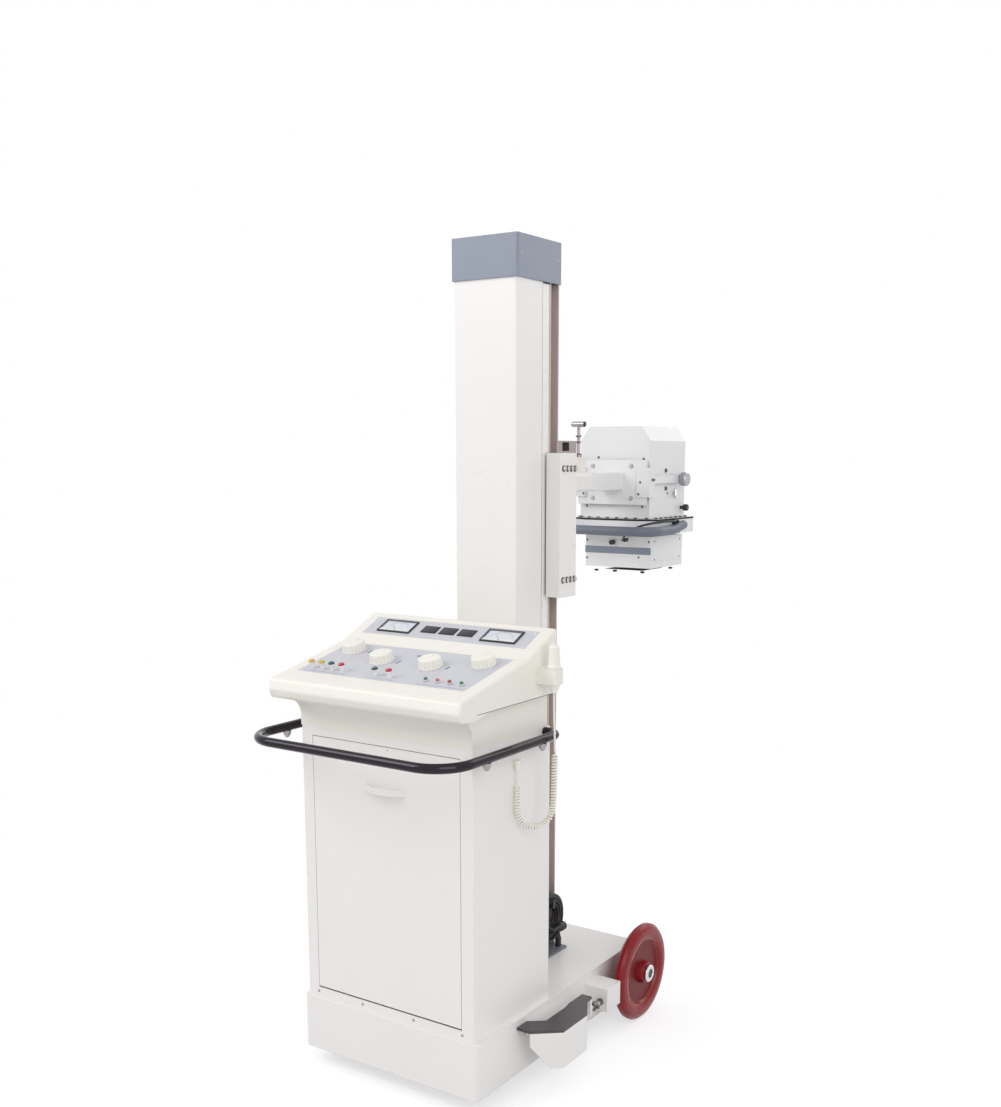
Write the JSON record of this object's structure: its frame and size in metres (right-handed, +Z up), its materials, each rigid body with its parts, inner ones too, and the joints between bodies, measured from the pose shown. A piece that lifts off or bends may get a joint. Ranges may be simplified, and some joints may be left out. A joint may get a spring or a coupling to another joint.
{
  "type": "mobile x-ray unit",
  "caption": "Wheeled radiographic unit: console cabinet with push rail, counterbalanced column, sliding carriage, turning arm, and tube head with beam limiter.",
  "frame": {"origin": "under the middle of the unit's box, on the floor", "axes": "+X to the operator's right, +Y from the operator towards the tube head, +Z up"},
  "size_m": [0.712, 1.454, 1.977],
  "materials": {
    "cabinet_enamel": "satin enamel",
    "column_enamel": "satin enamel",
    "blue_grey_enamel": "satin enamel",
    "dark_enamel": "satin enamel",
    "console_moulding": "fine grain",
    "panel_print": "matt",
    "bare_steel": "brushed",
    "zinc_steel": "plated",
    "dark_chrome": "polished",
    "wheel_rubber": "moulded",
    "caster_rubber": "moulded",
    "enamelled_casting": "satin enamel",
    "steel_casting": "machined",
    "knob_plastic": "moulded",
    "black_plastic": "moulded",
    "display_plastic": "moulded",
    "button_red": "moulded",
    "button_yellow": "moulded",
    "lamp_lens": "translucent",
    "grip_blue_grey": "moulded",
    "lead_jacket": "moulded",
    "ivory_jacket": "moulded",
    "rope_steel": "stranded",
    "weight_iron": "as cast",
    "tank_filling": "plain"
  },
  "bodies": {
    "base": {"chassis_frame": "cabinet_enamel", "rear_axle": "zinc_steel", "brake_boxes": "column_enamel", "column_cover": "column_enamel", "mast_post": "zinc_steel", "mast_rails": "bare_steel", "column_cap": "blue_grey_enamel", "cabinet_shell": "cabinet_enamel", "console_housing": "console_moulding", "control_panels": "panel_print", "meter_bezels": "display_plastic", "indicator_lamps": "lamp_lens", "handset_holder": "black_plastic", "cord_fittings": "black_plastic", "handle_rail": "dark_chrome", "power_unit": "tank_filling", "handset_cord": "ivory_jacket", "mains_coil": "lead_jacket", "mains_plug": "black_plastic", "wire_rope": "rope_steel"},
    "carriage": {"carriage_housing": "column_enamel", "arm_socket": "steel_casting"},
    "counterweight": {"counterweight": "weight_iron"},
    "pulley": {"rope_pulley": "steel_casting"},
    "upper_rollers": {"upper_rollers": "zinc_steel"},
    "lower_rollers": {"lower_rollers": "zinc_steel"},
    "arm_lock": {"arm_lock_handle": "zinc_steel"},
    "arm": {"arm_bar": "enamelled_casting", "yoke_frame": "column_enamel"},
    "head": {"head_cover": "cabinet_enamel", "head_pan": "enamelled_casting", "tube_insert": "tank_filling", "ring_handle": "grip_blue_grey", "head_cable": "lead_jacket"},
    "pivot_knob": {"pivot_knob": "black_plastic"},
    "collimator": {"collimator_housing": "enamelled_casting"},
    "shutter_knob": {"shutter_knob": "black_plastic"},
    "door": {"cabinet_door": "cabinet_enamel"},
    "handset": {"handset_body": "knob_plastic"},
    "handset_button": {"handset_button": "button_red"},
    "needle_left": {"meter_needle_left": "button_red"},
    "needle_right": {"meter_needle_right": "button_red"},
    "caster_left": {"caster_fork_left": "zinc_steel"},
    "caster_wheel_left": {"caster_wheel_left": "caster_rubber"},
    "rear_wheel_left": {"rear_wheel_left": "wheel_rubber"},
    "pedal_left": {"brake_pedal_left": "dark_enamel"},
    "caster_right": {"caster_fork_right": "zinc_steel"},
    "caster_wheel_right": {"caster_wheel_right": "caster_rubber"},
    "rear_wheel_right": {"rear_wheel_right": "wheel_rubber"},
    "pedal_right": {"brake_pedal_right": "dark_enamel"},
    "knob_1": {"rotary_knob_1": "knob_plastic"},
    "knob_2": {"rotary_knob_2": "knob_plastic"},
    "knob_3": {"rotary_knob_3": "knob_plastic"},
    "knob_4": {"rotary_knob_4": "knob_plastic"},
    "button_1": {"push_button_1": "button_yellow"},
    "button_2": {"push_button_2": "button_yellow"},
    "button_3": {"push_button_3": "black_plastic"},
    "button_4": {"push_button_4": "button_red"},
    "button_5": {"push_button_5": "black_plastic"},
    "button_6": {"push_button_6": "button_red"}
  },
  "joints": [
    {"name": "carriage_slide", "type": "slide", "parent": "base", "child": "carriage", "axis": [0, 0, 1], "range_m": [-0.75, 0.37], "deforming": ["wire_rope"]},
    {"name": "counterweight_slide", "type": "slide", "parent": "base", "child": "counterweight", "axis": [0, 0, 1], "range_m": [-0.37, 0.75]},
    {"name": "pulley_spin", "type": "hinge", "parent": "base", "child": "pulley", "pos_m": [0, -0.0395, 1.915], "axis": [1, 0, 0], "range_deg": [-1100, 1100]},
    {"name": "upper_roller_spin", "type": "hinge", "parent": "carriage", "child": "upper_rollers", "pos_m": [0, 0.0045, 1.437], "axis": [1, 0, 0], "range_deg": [-2800, 2800]},
    {"name": "lower_roller_spin", "type": "hinge", "parent": "carriage", "child": "lower_rollers", "pos_m": [0, 0.0045, 1.162], "axis": [1, 0, 0], "range_deg": [-2800, 2800]},
    {"name": "arm_lock_turn", "type": "hinge", "parent": "carriage", "child": "arm_lock", "pos_m": [0, 0.278, 1.552], "axis": [0, 0, 1], "range_deg": [-180, 0]},
    {"name": "arm_roll", "type": "hinge", "parent": "carriage", "child": "arm", "pos_m": [0, 0.2977, 1.3975], "axis": [0, 1, 0], "range_deg": [-90, 90]},
    {"name": "head_tilt", "type": "hinge", "parent": "arm", "child": "head", "pos_m": [0, 0.649, 1.402], "axis": [1, 0, 0], "range_deg": [-7, 7]},
    {"name": "pivot_knob_turn", "type": "hinge", "parent": "head", "child": "pivot_knob", "pos_m": [0.13, 0.649, 1.402], "axis": [1, 0, 0], "range_deg": [0, 180]},
    {"name": "collimator_turn", "type": "hinge", "parent": "head", "child": "collimator", "pos_m": [0, 0.607, 1.248], "axis": [0, 0, 1], "range_deg": [-10, 10], "deforming": ["head_cable"]},
    {"name": "shutter_knob_turn", "type": "hinge", "parent": "collimator", "child": "shutter_knob", "pos_m": [-0.014, 0.505, 1.222], "axis": [0, 1, 0], "range_deg": [-80, 80]},
    {"name": "door_tilt", "type": "hinge", "parent": "base", "child": "door", "pos_m": [0, -0.561, 0.211], "axis": [1, 0, 0], "range_deg": [0, 30]},
    {"name": "handset_lift", "type": "slide", "parent": "base", "child": "handset", "axis": [0, 0, 1], "range_m": [0, 0.06], "deforming": ["handset_cord"]},
    {"name": "handset_press", "type": "slide", "parent": "handset", "child": "handset_button", "axis": [0, 0, -1], "range_m": [0, 0.003], "stiffness_N_per_m": 400},
    {"name": "needle_swing_left", "type": "hinge", "parent": "base", "child": "needle_left", "pos_m": [-0.153, -0.33298, 1.04933], "axis": [0, -0.4317, 0.902], "range_deg": [-80, 0], "stiffness_Nm_per_rad": 0.0005},
    {"name": "caster_swivel_left", "type": "hinge", "parent": "base", "child": "caster_left", "pos_m": [-0.18, -0.476, 0.12], "axis": [0, 0, 1], "continuous": true},
    {"name": "caster_roll_left", "type": "hinge", "parent": "caster_left", "child": "caster_wheel_left", "pos_m": [-0.18, -0.448, 0.0375], "axis": [1, 0, 0], "continuous": true},
    {"name": "rear_wheel_roll_left", "type": "hinge", "parent": "base", "child": "rear_wheel_left", "pos_m": [-0.31, 0.101, 0.127], "axis": [1, 0, 0], "continuous": true},
    {"name": "pedal_press_left", "type": "hinge", "parent": "base", "child": "pedal_left", "pos_m": [-0.306, -0.171, 0.118], "axis": [0, -1, 0], "range_deg": [0, 10]},
    {"name": "needle_swing_right", "type": "hinge", "parent": "base", "child": "needle_right", "pos_m": [0.153, -0.33298, 1.04933], "axis": [0, -0.4317, 0.902], "range_deg": [-80, 0], "stiffness_Nm_per_rad": 0.0005},
    {"name": "caster_swivel_right", "type": "hinge", "parent": "base", "child": "caster_right", "pos_m": [0.18, -0.476, 0.12], "axis": [0, 0, 1], "continuous": true},
    {"name": "caster_roll_right", "type": "hinge", "parent": "caster_right", "child": "caster_wheel_right", "pos_m": [0.18, -0.448, 0.0375], "axis": [1, 0, 0], "continuous": true},
    {"name": "rear_wheel_roll_right", "type": "hinge", "parent": "base", "child": "rear_wheel_right", "pos_m": [0.31, 0.101, 0.127], "axis": [1, 0, 0], "continuous": true},
    {"name": "pedal_press_right", "type": "hinge", "parent": "base", "child": "pedal_right", "pos_m": [0.306, -0.171, 0.118], "axis": [0, 1, 0], "range_deg": [0, 10]},
    {"name": "knob_turn_1", "type": "hinge", "parent": "base", "child": "knob_1", "pos_m": [-0.187, -0.44084, 1.0113], "axis": [0, -0.2161, 0.9764], "range_deg": [-140, 140]},
    {"name": "knob_turn_2", "type": "hinge", "parent": "base", "child": "knob_2", "pos_m": [-0.07, -0.48088, 1.00244], "axis": [0, -0.2161, 0.9764], "range_deg": [-140, 140]},
    {"name": "knob_turn_3", "type": "hinge", "parent": "base", "child": "knob_3", "pos_m": [0.07, -0.48088, 1.00244], "axis": [0, -0.2161, 0.9764], "range_deg": [-140, 140]},
    {"name": "knob_turn_4", "type": "hinge", "parent": "base", "child": "knob_4", "pos_m": [0.187, -0.44084, 1.0113], "axis": [0, -0.2161, 0.9764], "range_deg": [-140, 140]},
    {"name": "button_press_1", "type": "slide", "parent": "base", "child": "button_1", "axis": [0, 0.2161, -0.9764], "range_m": [0, 0.003], "stiffness_N_per_m": 400},
    {"name": "button_press_2", "type": "slide", "parent": "base", "child": "button_2", "axis": [0, 0.2161, -0.9764], "range_m": [0, 0.003], "stiffness_N_per_m": 400},
    {"name": "button_press_3", "type": "slide", "parent": "base", "child": "button_3", "axis": [0, 0.2161, -0.9764], "range_m": [0, 0.003], "stiffness_N_per_m": 400},
    {"name": "button_press_4", "type": "slide", "parent": "base", "child": "button_4", "axis": [0, 0.2161, -0.9764], "range_m": [0, 0.003], "stiffness_N_per_m": 400},
    {"name": "button_press_5", "type": "slide", "parent": "base", "child": "button_5", "axis": [0, 0.2161, -0.9764], "range_m": [0, 0.003], "stiffness_N_per_m": 400},
    {"name": "button_press_6", "type": "slide", "parent": "base", "child": "button_6", "axis": [0, 0.2161, -0.9764], "range_m": [0, 0.003], "stiffness_N_per_m": 400}
  ],
  "couplings": [
    {"joint": "counterweight_slide", "follows": "carriage_slide", "ratio": -1},
    {"joint": "pulley_spin", "follows": "carriage_slide", "rad_per_m": 22.727},
    {"joint": "upper_roller_spin", "follows": "carriage_slide", "rad_per_m": -61.728},
    {"joint": "lower_roller_spin", "follows": "carriage_slide", "rad_per_m": 61.728}
  ]
}
